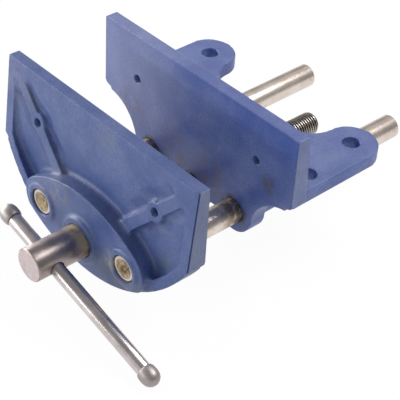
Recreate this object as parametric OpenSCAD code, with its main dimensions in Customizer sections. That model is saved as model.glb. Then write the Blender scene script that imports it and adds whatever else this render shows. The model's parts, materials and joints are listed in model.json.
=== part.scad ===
// Light woodworking vise with a plain screw, bolted under a bench top.
// Origin: on the fixed jaw's clamping face, mid-width, level with the underside of the bench.
// +X to the right seen from the front, +Y towards the back of the bench, +Z up.

/* [Jaws] */
// Width of both jaws
jaw_w = 175; // [150:1:200]
// Height of the jaws above the underside of the bench
jaw_rise = 45.5; // [38:0.5:60]
// Opening between the jaws as stored
opening = 68; // [40:0.5:72]

/* [Front jaw] */
// Radius of the round lower outline
front_arc_r = 98.5; // [95:0.5:106]
// Distance from the top edge down to the centre of that outline
front_arc_drop = 8; // [5:0.5:12]
// Thickness of the jaw at its top edge
front_top_t = 8; // [6:0.5:9]
// Thickness of the rim at the lowest point
front_foot_t = 18.8; // [16:0.1:20]
// Thickness of the wall behind the pockets
front_floor_t = 9.3; // [9.2:0.1:11]
// Width of the round lower part, which starts with a small step in from the sides
front_round_w = 168; // [150:1:174]
// Height of the straight sides
front_side_h = 57; // [54:0.5:62]
// Rounding of the sides' lower corners
front_corner_r = 4; // [3:0.5:6]
// Width of the rim along the straight sides
rim_side_w = 8; // [6:0.5:10]
// Width of the rim along the round outline
rim_arc_w = 7; // [5:0.5:8]
// Width of the two slanting ribs
rib_w = 8; // [6:0.5:10]
// Angle of the ribs from the horizontal
rib_angle = 46; // [40:1:50]
// Radius of the rounding in the corners of the pockets
pocket_r = 2.5; // [1:0.5:3]

/* [Front boss] */
// Thickness of the jaw through the boss
boss_t = 20.4; // [19.5:0.1:24]
// Height of the boss's arched top above the guide bars
boss_rise = 29.5; // [27:0.5:32]
// Radius of the boss's rounded ends, which are centred on the guide bars
boss_end_r = 17; // [15:0.5:18]
// Step between the jaw's outline and the boss's lower edge
boss_inset = 1; // [0.5:0.5:2]
// Radius of the raised land around each bar
land_r = 12.5; // [11:0.5:13.5]
// Height of those lands
land_h = 1.4; // [0.4:0.2:2]
// Foot radius of the collar around the screw
collar_foot_r = 17; // [16:0.5:18]
// Front radius of the collar around the screw
collar_front_r = 15; // [13.5:0.5:16]
// Height of the collar above the boss
collar_h = 2.8; // [2:0.2:4]

/* [Facing screw holes] */
// Distance between the two holes in each jaw
facing_pitch = 110; // [100:1:120]
// Height of the holes above the underside of the bench
facing_rise = 13.7; // [10:0.1:20]
// Diameter of the holes
facing_hole_d = 5.8; // [4:0.1:7]
// Radius of the round pad that carries each hole
facing_pad_r = 6.5; // [5:0.5:8]

/* [Fixed jaw] */
// Thickness of the jaw at its top edge
rear_top_t = 9; // [7:0.5:10]
// Thickness of the jaw where it meets the flange
rear_foot_t = 13; // [11:0.5:16]
// Depth of the clamping pad below the underside of the bench
rear_pad_drop = 5.5; // [4:0.5:8]
// Rounding of the pad's lower corners
rear_corner_r = 3; // [2:0.5:4]
// Step from the clamping pad back to the lower web
web_recess = 1.5; // [1:0.5:3]
// Width of the lower web where it leaves the pad
web_top_w = 164; // [158:1:168]
// Radius of the hollow sides of the lower web
web_hollow_r = 30; // [28:0.5:32]
// Distance of the hollows' centres below the underside of the bench
web_hollow_drop = 38.2; // [36:0.1:42]
// Radius of the web's rounded ends around the guide bars, where the hollows run out
web_end_r = 15.5; // [14:0.5:17]
// Distance from the underside of the bench to the web's lower edge between the bars
web_foot_drop = 41.2; // [38:0.2:46]

/* [Bench flange] */
// Thickness of the flange
flange_t = 9.7; // [8:0.1:12]
// Width of the flange
flange_w = 167; // [160:1:170]
// Distance from the clamping face to the centres of the ears
ear_y = 74.5; // [70:0.5:80]
// Radius of the ears
ear_r = 17.5; // [15:0.5:20]
// Distance from the clamping face to the bottom of the opening between the ears
bay_y = 55; // [50:0.5:58]
// Radius of the corners of that opening
bay_r = 20; // [15:0.5:22]
// Diameter of the four fixing holes
fixing_hole_d = 11.5; // [8:0.5:13]
// Distance between the two front fixing holes
front_fixing_pitch = 144; // [136:1:146]
// Distance from the clamping face to the front fixing holes
front_fixing_y = 29.5; // [26:0.5:36]

/* [Guide bars] */
// Diameter of the bars
bar_d = 16.5; // [14:0.5:17]
// Distance between the bars
bar_pitch = 80; // [76:1:84]
// Distance of the bars below the underside of the bench
bar_drop = 34; // [33:0.5:37]
// Length of the bars
bar_l = 237; // [210:0.5:260]
// Width of the flat ring around the turned recess at the front end
bar_ring_w = 0.9; // [0.5:0.1:2]
// Depth of the turned recess
bar_recess_h = 3; // [1:0.5:4]
// Chamfer at the rear end
bar_chamfer = 1; // [0.5:0.5:2]
// Outer radius of the guide bosses behind the web
guide_boss_r = 11; // [10.5:0.5:13.5]
// Distance from the clamping face to the back of the guide bosses
guide_boss_y = 70; // [62:1:72]
// Thickness of the webs that carry the guide bosses
guide_web_t = 10; // [8:0.5:12]
// Diameter of the pins that lock the bars in the front jaw
bar_pin_d = 4; // [3:0.5:5]
// Depth of the pins' blind ends above the bars
bar_pin_bite = 2.6; // [2:0.1:4]
// Depth of the pins' lower ends inside their holes
bar_pin_recess = 0.5; // [0.2:0.1:1]

/* [Main screw] */
// Nominal diameter of the threaded rod
rod_d = 16; // [14:0.5:16]
// Distance of the screw below the underside of the bench
screw_drop = 37.7; // [36:0.1:39]
// Overall length of head and rod
screw_l = 240; // [220:0.2:260]
// Diameter of the head
head_d = 22; // [21:0.5:24]
// Length of the head
head_l = 42.6; // [38:0.2:50]
// Chamfer around the head's front face
head_chamfer = 0.5; // [0.2:0.1:1]
// Chamfer at the end of the rod
rod_chamfer = 1.5; // [1:0.5:2]
// Depth of the rod's seat inside the head
rod_seat_l = 18; // [12:0.5:22]
// Diameter of the pin that locks the rod in the head
head_pin_d = 4; // [3:0.5:4]
// Distance of that pin from the head's shoulder
head_pin_y = 3.4; // [2.6:0.1:3.6]

/* [Screw bearing] */
// Thickness of the thrust washer behind the head
washer_t = 2; // [1:0.5:3]
// Thickness of the washer in front of the retaining collar
stop_washer_t = 1.5; // [1:0.1:1.6]
// Thickness of the wall that the screw turns in
bearing_wall_t = 6; // [5:0.5:8]
// Diameter of the retaining collar
stop_d = 28; // [26:0.5:29]
// Length of the retaining collar
stop_l = 7; // [6:0.1:7.2]
// Depth of the pocket for the collar in the jaw's back face
stop_pocket_h = 9; // [8.8:0.1:10]
// Diameter of that pocket
stop_pocket_d = 30; // [29.5:0.5:32]
// Diameter of the pin through the collar
stop_pin_d = 4; // [3:0.5:5]
// Free movement of the screw along its own axis
end_play = 0.1; // [0.05:0.05:0.2]

/* [Nut] */
// Diameter of the nut's body
nut_d = 24; // [22:0.5:26]
// Thickness of the nut's flange
nut_flange_t = 6; // [5:0.5:8]
// Radius of the flange's round middle
nut_flange_r = 15.5; // [14:0.5:16.5]
// Distance between the two nut screws
nut_screw_pitch = 36; // [35:0.5:37]
// Diameter of the nut screws
nut_screw_d = 6; // [5:0.5:6]
// Length of the nut screws under the head
nut_screw_l = 20; // [16:1:24]
// Width of the screws' hexagon heads across the flats
nut_screw_af = 10; // [8:0.5:11]
// Height of the screws' heads
nut_screw_head_h = 4; // [3:0.5:5]
// Thickness of the spring washers under those heads
nut_washer_t = 1.6; // [1.2:0.1:2]
// Outer diameter of the spring washers
nut_washer_d = 11.8; // [10:0.1:12]
// Radius of the lugs that carry the nut screws
lug_r = 8; // [7:0.5:9]
// Outer radius of the boss around the nut
nut_boss_r = 17; // [16:0.5:18]
// Distance from the clamping face to the back of the nut's boss
nut_boss_y = 46; // [42:1:50]
// Distance from the clamping face to the front of the nut's seat
nut_seat_y = 12; // [10:0.5:16]
// Thickness of the web that carries the nut's boss
nut_web_t = 16; // [12:1:20]

/* [Tommy bar] */
// Diameter of the bar
tommy_d = 9.4; // [8:0.1:10]
// Overall length with both knobs
tommy_l = 150; // [130:1:180]
// Tilt of the bar from the horizontal as stored
tommy_tilt = 14; // [0:1:45]
// Offset of the bar's middle from the screw as stored
tommy_shift = 30.5; // [0:0.5:50]
// Distance of the bar from the head's front face
tommy_setback = 13.2; // [9:0.2:16]
// Diameter of the knobs
knob_d = 12; // [11:0.5:16]
// Length of the knobs
knob_l = 11.5; // [10:0.1:14]
// Diameter of the knobs' flat inner face
knob_neck_d = 10.6; // [10.4:0.1:11]
// Length of the swell from that face to the full diameter
knob_swell_l = 2.4; // [1:0.2:4]
// Diameter of the bar's spigots inside the knobs
spigot_d = 6; // [4:0.5:7]
// Length of those spigots
spigot_l = 7; // [5:0.5:8]

/* [Fits] */
// Radial clearance where a shaft slides or turns
running_c = 0.05; // [0.02:0.01:0.08]
// Radial clearance of pressed and screwed parts
seat_c = 0.02; // [0.01:0.01:0.04]
// Radial clearance of loose holes
loose_c = 0.4; // [0.3:0.1:0.5]

/* [Hidden] */
$fn = 96;
// How far cutting shapes run past the faces that they cut
over = jaw_w / 100;
// How far the hollows of the web run into its rounded ends, so that the outlines cross
web_bite = 0.1;

// Front jaw
front_arc_z = jaw_rise - front_arc_drop;
front_bottom = front_arc_z - front_arc_r;
front_side_foot = jaw_rise - front_side_h;
facing_x = facing_pitch / 2;
collar_t = boss_t + collar_h;
land_t = boss_t + land_h;
bar_x = bar_pitch / 2;
// The boss's arch touches its two rounded ends from outside
boss_arc_r = (pow(bar_x, 2) + pow(boss_rise, 2) - pow(boss_end_r, 2)) / (2 * (boss_rise - boss_end_r));
boss_arc_z = boss_rise - bar_drop - boss_arc_r;
boss_tangent_x = bar_x * boss_arc_r / (boss_arc_r - boss_end_r);
bar_r = bar_d / 2;
bar_hole_r = bar_r + seat_c;
bar_pin_foot = front_arc_z - sqrt(pow(front_arc_r, 2) - pow(bar_x + bar_pin_d / 2, 2)) + bar_pin_recess;
bar_pin_l = bar_r + bar_pin_bite - bar_drop - bar_pin_foot;

// Main screw, measured along Y from the front jaw's clamping face
wall_y = -(stop_pocket_h + bearing_wall_t);
shoulder_y = wall_y - end_play - washer_t;
head_front_y = shoulder_y - head_l;
rod_front_y = shoulder_y - rod_seat_l;
rod_end_y = head_front_y + screw_l;
stop_washer_y = -stop_pocket_h + end_play;
stop_y = stop_washer_y + stop_washer_t;
head_pin_l = head_d - 2 * loose_c;
stop_pin_l = stop_d - 2 * loose_c;
tommy_y = head_front_y + tommy_setback;

// Fixed body
ear_x = flange_w / 2 - ear_r;
bay_x = ear_x - ear_r - bay_r;
fixing_hole_r = fixing_hole_d / 2;
web_reach = web_hollow_r + web_end_r - web_bite;
web_hollow_x = bar_x + sqrt(pow(web_reach, 2) - pow(web_hollow_drop - bar_drop, 2));
web_touch_drop = bar_drop + (web_hollow_drop - bar_drop) * web_end_r / web_reach;
nut_r = nut_d / 2;
nut_screw_y = nut_boss_y + nut_flange_t + nut_washer_t;
rod_r = rod_d / 2;

// Tommy bar
tommy_rod_l = tommy_l - 2 * knob_l;
knob_r = knob_d / 2;

// Stands a flat outline upright: its y becomes z, and it runs back to y_back from h in front of it
module upright(h, y_back = 0) {
    translate([0, y_back, 0]) rotate([90, 0, 0]) linear_extrude(h) children();
}

// Turns a cylinder's or cone's axis along +Y
module along_y() {
    rotate([-90, 0, 0]) children();
}

module mirrored() {
    children();
    mirror([1, 0, 0]) children();
}

// Moves the sliding group to its stored opening
module at_opening() {
    translate([0, -opening, 0]) children();
}

module at_bar() {
    translate([bar_x, 0, -bar_drop]) children();
}

module at_screw() {
    translate([0, 0, -screw_drop]) children();
}

module rounded_foot(width, top, foot, r) {
    translate([-width / 2, foot + r]) square([width, top - foot - r]);
    translate([-width / 2 + r, foot]) square([width - 2 * r, r]);
    mirrored() translate([width / 2 - r, foot + r]) circle(r);
}

// Front jaw, seen from the front; the pocket outlines use the same form drawn in from the edge
module front_outline(side_in, arc_in) {
    rounded_foot(jaw_w - 2 * side_in, jaw_rise, front_side_foot + side_in, front_corner_r);
    round_w = min(front_round_w, jaw_w - 2 * side_in);
    intersection() {
        translate([0, front_arc_z]) circle(front_arc_r - arc_in);
        translate([-round_w / 2, front_bottom]) square([round_w, jaw_rise - front_bottom]);
    }
}

module boss_outline() {
    intersection() {
        union() {
            intersection() {
                translate([0, boss_arc_z]) circle(boss_arc_r);
                translate([-boss_tangent_x, front_bottom]) square([2 * boss_tangent_x, jaw_w]);
            }
            mirrored() translate([bar_x, -bar_drop]) circle(boss_end_r);
        }
        translate([0, front_arc_z]) circle(front_arc_r - boss_inset);
    }
}

module rib_outline() {
    mirrored() translate([facing_x, facing_rise]) {
        rotate(rib_angle) square([jaw_w, rib_w], center = true);
        circle(facing_pad_r);
    }
}

module pocket_outline() {
    offset(r = pocket_r, $fn = 24) offset(r = -pocket_r, $fn = 24) difference() {
        front_outline(rim_side_w, rim_arc_w, $fn = 64);
        rib_outline($fn = 24);
        boss_outline($fn = 64);
    }
}

module front_envelope() {
    translate([-jaw_w / 2, 0, 0]) rotate([90, 0, 90]) linear_extrude(jaw_w)
        polygon([[0, jaw_rise], [-front_top_t, jaw_rise], [-front_foot_t, front_bottom], [0, front_bottom]]);
}

module facing_holes(depth) {
    mirrored() translate([facing_x, -depth - over, facing_rise])
        along_y() cylinder(h = depth + 2 * over, d = facing_hole_d);
}

module front_jaw() {
    color("royalblue") at_opening() difference() {
        union() {
            difference() {
                intersection() {
                    upright(front_foot_t) front_outline(0, 0);
                    front_envelope();
                }
                upright(front_foot_t, -front_floor_t) pocket_outline();
            }
            upright(boss_t) boss_outline();
            mirrored() at_bar() translate([0, -land_t, 0]) along_y() cylinder(h = land_t, r = land_r);
            at_screw() translate([0, -collar_t, 0])
                along_y() cylinder(h = collar_h, r1 = collar_front_r, r2 = collar_foot_r);
        }
        facing_holes(front_foot_t);
        mirrored() at_bar() {
            translate([0, -land_t - over, 0]) along_y() cylinder(h = land_t + 2 * over, r = bar_hole_r);
            translate([0, -land_t, 0]) along_y() cylinder(h = land_h, r1 = bar_hole_r + land_h, r2 = bar_hole_r);
        }
        at_screw() {
            translate([0, -collar_t - over, 0])
                along_y() cylinder(h = collar_t + over + wall_y, r = head_d / 2 + running_c);
            translate([0, -collar_t, 0]) along_y() cylinder(h = collar_t + over, r = rod_r + running_c);
            translate([0, -stop_pocket_h, 0]) along_y() cylinder(h = stop_pocket_h + over, d = stop_pocket_d);
        }
        mirrored() bar_pin_hole();
    }
}

module bar_pin() {
    translate([bar_x, -boss_t / 2, bar_pin_foot]) cylinder(h = bar_pin_l, d = bar_pin_d, $fn = 32);
}

// The hole for that pin, drilled from below
module bar_pin_hole() {
    translate([bar_x, -boss_t / 2, front_bottom - over])
        cylinder(h = bar_pin_foot + bar_pin_l + seat_c - front_bottom + over, r = bar_pin_d / 2 + seat_c, $fn = 32);
}

module guide_bar() {
    difference() {
        at_bar() translate([0, -boss_t, 0]) {
            difference() {
                along_y() cylinder(h = bar_l - bar_chamfer, d = bar_d);
                along_y() cylinder(h = bar_recess_h, r1 = bar_r - bar_ring_w, r2 = bar_ring_w);
            }
            translate([0, bar_l - bar_chamfer, 0])
                along_y() cylinder(h = bar_chamfer, r1 = bar_r, r2 = bar_r - bar_chamfer);
        }
        bar_pin_hole();
    }
}

module guide_bar_left() {
    color("silver") at_opening() mirror([1, 0, 0]) guide_bar();
}

module guide_bar_right() {
    color("silver") at_opening() guide_bar();
}

module guide_bar_pins() {
    color("gray") at_opening() mirrored() bar_pin();
}

module bay_outline() {
    mirrored() translate([bay_x, bay_y + bay_r]) circle(bay_r);
    translate([-bay_x, bay_y]) square([2 * bay_x, ear_y + ear_r]);
    translate([-bay_x - bay_r, bay_y + bay_r]) square([2 * (bay_x + bay_r), ear_y]);
}

module flange_outline() {
    difference() {
        union() {
            mirrored() translate([ear_x, ear_y]) circle(ear_r);
            translate([-flange_w / 2, 0]) square([flange_w, ear_y]);
        }
        bay_outline();
    }
}

module web_outline() {
    difference() {
        translate([-web_top_w / 2, -web_touch_drop]) square([web_top_w, web_touch_drop]);
        mirrored() translate([web_hollow_x, -web_hollow_drop]) circle(web_hollow_r);
    }
    mirrored() translate([bar_x, -bar_drop]) circle(web_end_r);
    translate([0, -screw_drop]) circle(nut_boss_r);
    translate([-bar_x, -web_foot_drop]) square([bar_pitch, web_foot_drop]);
}

module rear_plate() {
    intersection() {
        translate([-jaw_w / 2, 0, 0]) rotate([90, 0, 90]) linear_extrude(jaw_w)
            polygon([[0, jaw_rise], [rear_top_t, jaw_rise], [rear_foot_t, 0], [rear_foot_t, -rear_pad_drop],
                     [0, -rear_pad_drop]]);
        upright(rear_foot_t, rear_foot_t) rounded_foot(jaw_w, jaw_rise, -rear_pad_drop, rear_corner_r);
    }
}

// The webs and bosses that hang under the flange
module underframe() {
    mirrored() {
        at_bar() translate([0, web_recess, 0]) along_y() cylinder(h = guide_boss_y - web_recess, r = guide_boss_r);
        translate([bar_x - guide_web_t / 2, 0, 0]) rotate([90, 0, 90]) linear_extrude(guide_web_t)
            polygon([[web_recess, -flange_t / 2], [bay_y, -flange_t / 2], [guide_boss_y, guide_boss_r - bar_drop],
                     [guide_boss_y, -bar_drop], [web_recess, -bar_drop]]);
    }
    at_screw() {
        translate([0, web_recess, 0]) along_y() cylinder(h = nut_boss_y - web_recess, r = nut_boss_r);
        translate([-bar_x, rear_foot_t, -lug_r]) cube([bar_pitch, nut_boss_y - rear_foot_t, 2 * lug_r]);
        translate([-nut_web_t / 2, web_recess, 0])
            cube([nut_web_t, nut_boss_y - web_recess, screw_drop - flange_t / 2]);
    }
}

module nut_screw_places() {
    mirrored() translate([nut_screw_pitch / 2, 0, 0]) children();
}

module rear_jaw_body() {
    color("royalblue") difference() {
        union() {
            rear_plate();
            upright(rear_foot_t - web_recess, rear_foot_t) web_outline();
            translate([0, 0, -flange_t]) linear_extrude(flange_t) difference() {
                flange_outline();
                translate([-flange_w / 2, 0]) square([flange_w, rear_foot_t / 2]);
            }
            underframe();
        }
        translate([0, rear_foot_t, 0]) facing_holes(rear_foot_t);
        mirrored() {
            translate([ear_x, ear_y, -flange_t - over]) cylinder(h = flange_t + 2 * over, r = fixing_hole_r);
            translate([front_fixing_pitch / 2, front_fixing_y, -flange_t - over])
                cylinder(h = flange_t + 2 * over, r = fixing_hole_r);
            at_bar() along_y() cylinder(h = guide_boss_y + over, r = bar_r + running_c);
        }
        at_screw() {
            along_y() cylinder(h = nut_boss_y, r = rod_r + loose_c);
            translate([0, nut_seat_y, 0])
                along_y() cylinder(h = nut_boss_y - nut_seat_y + over, r = nut_r + seat_c);
            nut_screw_places() translate([0, nut_screw_y - nut_screw_l - over, 0])
                along_y() cylinder(h = nut_screw_l, r = nut_screw_d / 2 + seat_c, $fn = 32);
        }
    }
}

module nut_flange_outline() {
    circle(nut_flange_r);
    square([nut_screw_pitch, 2 * (lug_r - running_c)], center = true);
    nut_screw_places() circle(lug_r - running_c);
}

module screw_nut() {
    color("dimgray") at_screw() difference() {
        union() {
            translate([0, nut_seat_y + running_c, 0])
                along_y() cylinder(h = nut_boss_y - nut_seat_y - running_c + nut_flange_t / 2, r = nut_r);
            upright(nut_flange_t, nut_boss_y + nut_flange_t) nut_flange_outline();
        }
        along_y() cylinder(h = nut_boss_y + nut_flange_t + over, r = rod_r + running_c);
        nut_screw_places() translate([0, nut_boss_y - over, 0])
            along_y() cylinder(h = nut_flange_t + 2 * over, r = nut_screw_d / 2 + seat_c, $fn = 32);
    }
}

module nut_screws() {
    color("gray") at_screw() nut_screw_places() {
        translate([0, nut_screw_y - nut_screw_l, 0])
            along_y() cylinder(h = nut_screw_l + nut_screw_head_h / 2, d = nut_screw_d, $fn = 32);
        translate([0, nut_screw_y, 0])
            along_y() cylinder(h = nut_screw_head_h, d = nut_screw_af / cos(180 / 6), $fn = 6);
    }
}

module nut_screw_washers() {
    color("gray") at_screw() nut_screw_places() translate([0, nut_boss_y + nut_flange_t, 0]) along_y() difference() {
        cylinder(h = nut_washer_t, d = nut_washer_d, $fn = 32);
        translate([0, 0, -over]) cylinder(h = nut_washer_t + 2 * over, r = nut_screw_d / 2 + seat_c, $fn = 32);
    }
}

// Everything on the tommy bar's own axis: +X runs along the bar, away from the near knob
module at_tommy() {
    at_opening() at_screw() translate([0, tommy_y, 0]) rotate([0, tommy_tilt, 0]) children();
}

// A pin through the screw's axis, or with a clearance the hole that it sits in
module cross_pin(y, length, d, clearance = 0) {
    translate([0, y, 0]) cylinder(h = length, r = d / 2 + clearance, center = true, $fn = 32);
}

module head_pin_hole() {
    cross_pin(shoulder_y - head_pin_y, head_d + 2 * over, head_pin_d, seat_c);
}

module stop_pin_hole() {
    cross_pin(stop_y + stop_l / 2, stop_d + 2 * over, stop_pin_d, seat_c);
}

module screw_head() {
    color("darkgray") difference() {
        at_opening() at_screw() difference() {
            translate([0, head_front_y, 0]) {
                along_y() cylinder(h = head_chamfer, r1 = head_d / 2 - head_chamfer, r2 = head_d / 2);
                translate([0, head_chamfer, 0]) along_y() cylinder(h = head_l - head_chamfer, d = head_d);
            }
            translate([0, rod_front_y, 0]) along_y() cylinder(h = rod_seat_l + over, r = rod_r + seat_c);
            head_pin_hole();
        }
        at_tommy() rotate([0, 90, 0]) cylinder(h = head_d + 2 * over, r = tommy_d / 2 + loose_c, center = true);
    }
}

module screw_rod() {
    color("darkgray") at_opening() at_screw() difference() {
        translate([0, rod_front_y, 0]) {
            along_y() cylinder(h = rod_end_y - rod_front_y - rod_chamfer, d = rod_d);
            translate([0, rod_end_y - rod_front_y - rod_chamfer, 0])
                along_y() cylinder(h = rod_chamfer, r1 = rod_r, r2 = rod_r - rod_chamfer);
        }
        head_pin_hole();
        stop_pin_hole();
    }
}

module head_pin() {
    color("gray") at_opening() at_screw() cross_pin(shoulder_y - head_pin_y, head_pin_l, head_pin_d);
}

// A ring on the rod, from y backwards
module rod_ring(y, length, d) {
    translate([0, y, 0]) along_y() difference() {
        cylinder(h = length, d = d);
        translate([0, 0, -over]) cylinder(h = length + 2 * over, r = rod_r + seat_c);
    }
}

module thrust_washer() {
    color("goldenrod") at_opening() at_screw() rod_ring(shoulder_y, washer_t, head_d);
}

module collar_washer() {
    color("darkgray") at_opening() at_screw() rod_ring(stop_washer_y, stop_washer_t, stop_d);
}

module retaining_collar() {
    color("darkgray") at_opening() at_screw() difference() {
        rod_ring(stop_y, stop_l, stop_d);
        stop_pin_hole();
    }
}

module collar_pin() {
    color("gray") at_opening() at_screw() cross_pin(stop_y + stop_l / 2, stop_pin_l, stop_pin_d);
}

module tommy_bar() {
    color("silver") at_tommy() translate([tommy_shift, 0, 0]) rotate([0, 90, 0]) {
        cylinder(h = tommy_rod_l, d = tommy_d, center = true);
        cylinder(h = tommy_rod_l + 2 * spigot_l, d = spigot_d, center = true);
    }
}

// A knob whose flat face is at zero and whose round end points along +Z
module knob() {
    difference() {
        union() {
            cylinder(h = knob_swell_l, d1 = knob_neck_d, d2 = knob_d);
            translate([0, 0, knob_swell_l]) cylinder(h = knob_l - knob_r - knob_swell_l, d = knob_d);
            translate([0, 0, knob_l - knob_r]) sphere(r = knob_r);
        }
        translate([0, 0, -over]) cylinder(h = spigot_l + over + seat_c, r = spigot_d / 2 + seat_c);
        translate([0, 0, -knob_l]) cylinder(h = knob_l, r = knob_d);
    }
}

// side is -1 for the short end and 1 for the long end
module placed_knob(side) {
    color("silver") at_tommy() translate([tommy_shift + side * tommy_rod_l / 2, 0, 0])
        rotate([0, side * 90, 0]) knob();
}

module tommy_knob_near() {
    placed_knob(-1);
}

module tommy_knob_far() {
    placed_knob(1);
}

rear_jaw_body();
screw_nut();
nut_screws();
nut_screw_washers();
front_jaw();
guide_bar_left();
guide_bar_right();
guide_bar_pins();
screw_head();
screw_rod();
head_pin();
thrust_washer();
collar_washer();
retaining_collar();
collar_pin();
tommy_bar();
tommy_knob_near();
tommy_knob_far();
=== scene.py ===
import json
import math

import bmesh
import bpy
from mathutils import Euler, Matrix, Vector


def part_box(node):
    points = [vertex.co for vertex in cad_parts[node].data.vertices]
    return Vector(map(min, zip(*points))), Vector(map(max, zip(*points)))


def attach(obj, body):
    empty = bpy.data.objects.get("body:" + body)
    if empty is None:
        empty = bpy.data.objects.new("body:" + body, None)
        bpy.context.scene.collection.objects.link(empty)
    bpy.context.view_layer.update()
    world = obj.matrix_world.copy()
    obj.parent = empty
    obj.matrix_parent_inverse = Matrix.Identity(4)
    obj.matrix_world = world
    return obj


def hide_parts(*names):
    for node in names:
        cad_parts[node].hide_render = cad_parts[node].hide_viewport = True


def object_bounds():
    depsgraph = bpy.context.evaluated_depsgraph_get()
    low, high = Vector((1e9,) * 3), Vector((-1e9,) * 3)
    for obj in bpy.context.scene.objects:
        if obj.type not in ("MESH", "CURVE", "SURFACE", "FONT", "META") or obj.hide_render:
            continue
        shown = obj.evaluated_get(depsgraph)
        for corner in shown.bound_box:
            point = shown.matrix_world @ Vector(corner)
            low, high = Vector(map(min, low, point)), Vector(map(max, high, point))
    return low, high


# A woodworking vise: two painted iron castings, ground guide bars, a main screw and a tommy bar.
# Everything is in metres; sizes are given in millimetres and multiplied by mm.
mm = 0.001
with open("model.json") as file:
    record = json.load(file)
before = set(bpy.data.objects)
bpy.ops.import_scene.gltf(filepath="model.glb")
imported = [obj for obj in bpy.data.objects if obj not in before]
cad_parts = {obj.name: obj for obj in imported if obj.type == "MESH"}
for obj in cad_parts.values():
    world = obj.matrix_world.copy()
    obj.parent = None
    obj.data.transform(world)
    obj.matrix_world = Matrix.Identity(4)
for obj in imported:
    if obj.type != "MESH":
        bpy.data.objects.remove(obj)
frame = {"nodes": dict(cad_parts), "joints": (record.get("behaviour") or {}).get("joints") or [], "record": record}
cadLow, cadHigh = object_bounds()
mounts = {mount["name"]: mount for mount in frame["record"]["mounts"]}
joints = {joint["name"]: joint for joint in frame["joints"]}
tommyDirection = Vector(joints["tommy_slide"]["axis"])
backward = Vector((0, 1, 0))
mergeWithin = 0.001 * mm


# Shader building

class Wire:
    # one output of a node, which can be added, subtracted and multiplied like a number

    def __init__(self, finish, socket):
        self.finish = finish
        self.socket = socket

    def math(self, operation, first, second):
        return self.finish.node("Math", {"operation": operation}, {0: first, 1: second})

    def __add__(self, other):
        return self.math("ADD", self, other)

    def __radd__(self, other):
        return self.math("ADD", other, self)

    def __sub__(self, other):
        return self.math("SUBTRACT", self, other)

    def __rsub__(self, other):
        return self.math("SUBTRACT", other, self)

    def __mul__(self, other):
        return self.math("MULTIPLY", self, other)

    def __rmul__(self, other):
        return self.math("MULTIPLY", other, self)


class Finish:
    # a material under construction

    def __init__(self, tree):
        self.tree = tree
        self.tree.nodes.clear()

    def node(self, kind, settings=None, inputs=None, output=0):
        made = self.tree.nodes.new("ShaderNode" + kind)
        for name, value in (settings or {}).items():
            setattr(made, name, value)
        for name, value in (inputs or {}).items():
            if isinstance(value, Wire):
                self.tree.links.new(value.socket, made.inputs[name])
            else:
                made.inputs[name].default_value = value
        return Wire(self, made.outputs[output]) if made.outputs else None

    def place(self, centre=(0, 0, 0), turn=(0, 0, 0), scale=(1, 1, 1)):
        # object coordinates, moved so that centre is zero, turned and stretched
        local = self.node("TexCoord", output="Object")
        moved = self.node("VectorMath", {"operation": "SUBTRACT"}, {0: local, 1: centre})
        turned = self.node("Mapping", {"vector_type": "POINT"}, {"Vector": moved, "Rotation": turn})
        return self.node("VectorMath", {"operation": "MULTIPLY"}, {0: turned, 1: scale})

    def noise(self, where, size, detail=3, roughness=0.5):
        # cloudy values round 0.5, with patches about size across
        return self.node("TexNoise", None, {"Vector": where, "Scale": 1 / size, "Detail": detail,
                                            "Roughness": roughness})

    def step(self, value, low, high):
        # 0 below low, 1 above high, smooth between them
        return self.node("MapRange", {"interpolation_type": "SMOOTHSTEP"},
                         {"Value": value, "From Min": low, "From Max": high})

    def mix(self, factor, first, second):
        return self.node("Mix", {"data_type": "RGBA"}, {0: factor, 6: first, 7: second}, output=2)

    def spot(self, where, centre, radius, softness):
        # 1 within radius of centre, fading to 0
        gap = self.node("VectorMath", {"operation": "DISTANCE"}, {0: where, 1: centre}, output="Value")
        return 1 - self.step(gap, radius, radius + softness)

    def fromAxis(self, centre):
        # the distance from a line along Y through centre
        across = self.place(centre, scale=(1, 0, 1))
        return self.node("VectorMath", {"operation": "LENGTH"}, {0: across}, output="Value")

    def surface(self, inputs, height, depth):
        bump = self.node("Bump", None, {"Height": height, "Distance": depth, "Strength": 1.0})
        shader = self.node("BsdfPrincipled", None, {**inputs, "Normal": bump})
        self.node("OutputMaterial", None, {"Surface": shader})


def colour(red, green, blue):
    # a screen colour from 0 to 255, as the shader wants it
    linear = [(part / 255 / 12.92) if part < 11 else ((part / 255 + 0.055) / 1.055) ** 2.4
              for part in (red, green, blue)]
    return (*linear, 1.0)


def newFinish(name):
    material = bpy.data.materials.new(name)
    material.use_nodes = True
    return material, Finish(material.node_tree)


# Finishes. A range is where a smooth step starts and ends, a share is how much of a colour is mixed in.

enamel = {
    # the dark blue of the specks, which is also the painted shade in hollows
    "speckAndShadeBlue": colour(28, 45, 106), "dust": colour(122, 126, 140), "bare": colour(150, 150, 154),
    # film is the pale grey of dust and painted sheen on upward faces
    "film": colour(136, 128, 112),
    "cloudSize": 30 * mm, "cloudRange": (0.35, 0.68),
    "speckSize": 1.3 * mm, "speckRange": (0.4, 0.62), "speckShare": 0.3,
    # the hollows' painted shade: where it starts, and how dark it gets
    "hollowRange": (0.42, 0.495), "hollowShadeShare": 0.75,
    "gritRange": (0.56, 0.66), "gritShare": 0.28,
    "wornRange": (0.55, 0.62), "wornShare": 0.12, "wornSpecks": 0.04,
    "upwardRange": (0.85, 0.98),
    "endRange": (87.2 * mm, 87.4 * mm), "endShare": 0.1, "streakShare": 0.3,
    "streakSize": 1.2 * mm, "streakStretch": (1, 1, 0.1),
    "patchSize": 7 * mm, "patchRange": (0.36, 0.6),
    "lumpSize": 6 * mm, "lumpHeight": 0.6, "grainSize": 1.0 * mm, "grainHeight": 0.7, "depth": 0.3 * mm,
    "roughness": 0.36, "lumpRoughness": 0.12, "hollowRoughness": 0.2, "endRoughness": 0.15, "specular": 0.6,
}


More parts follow.
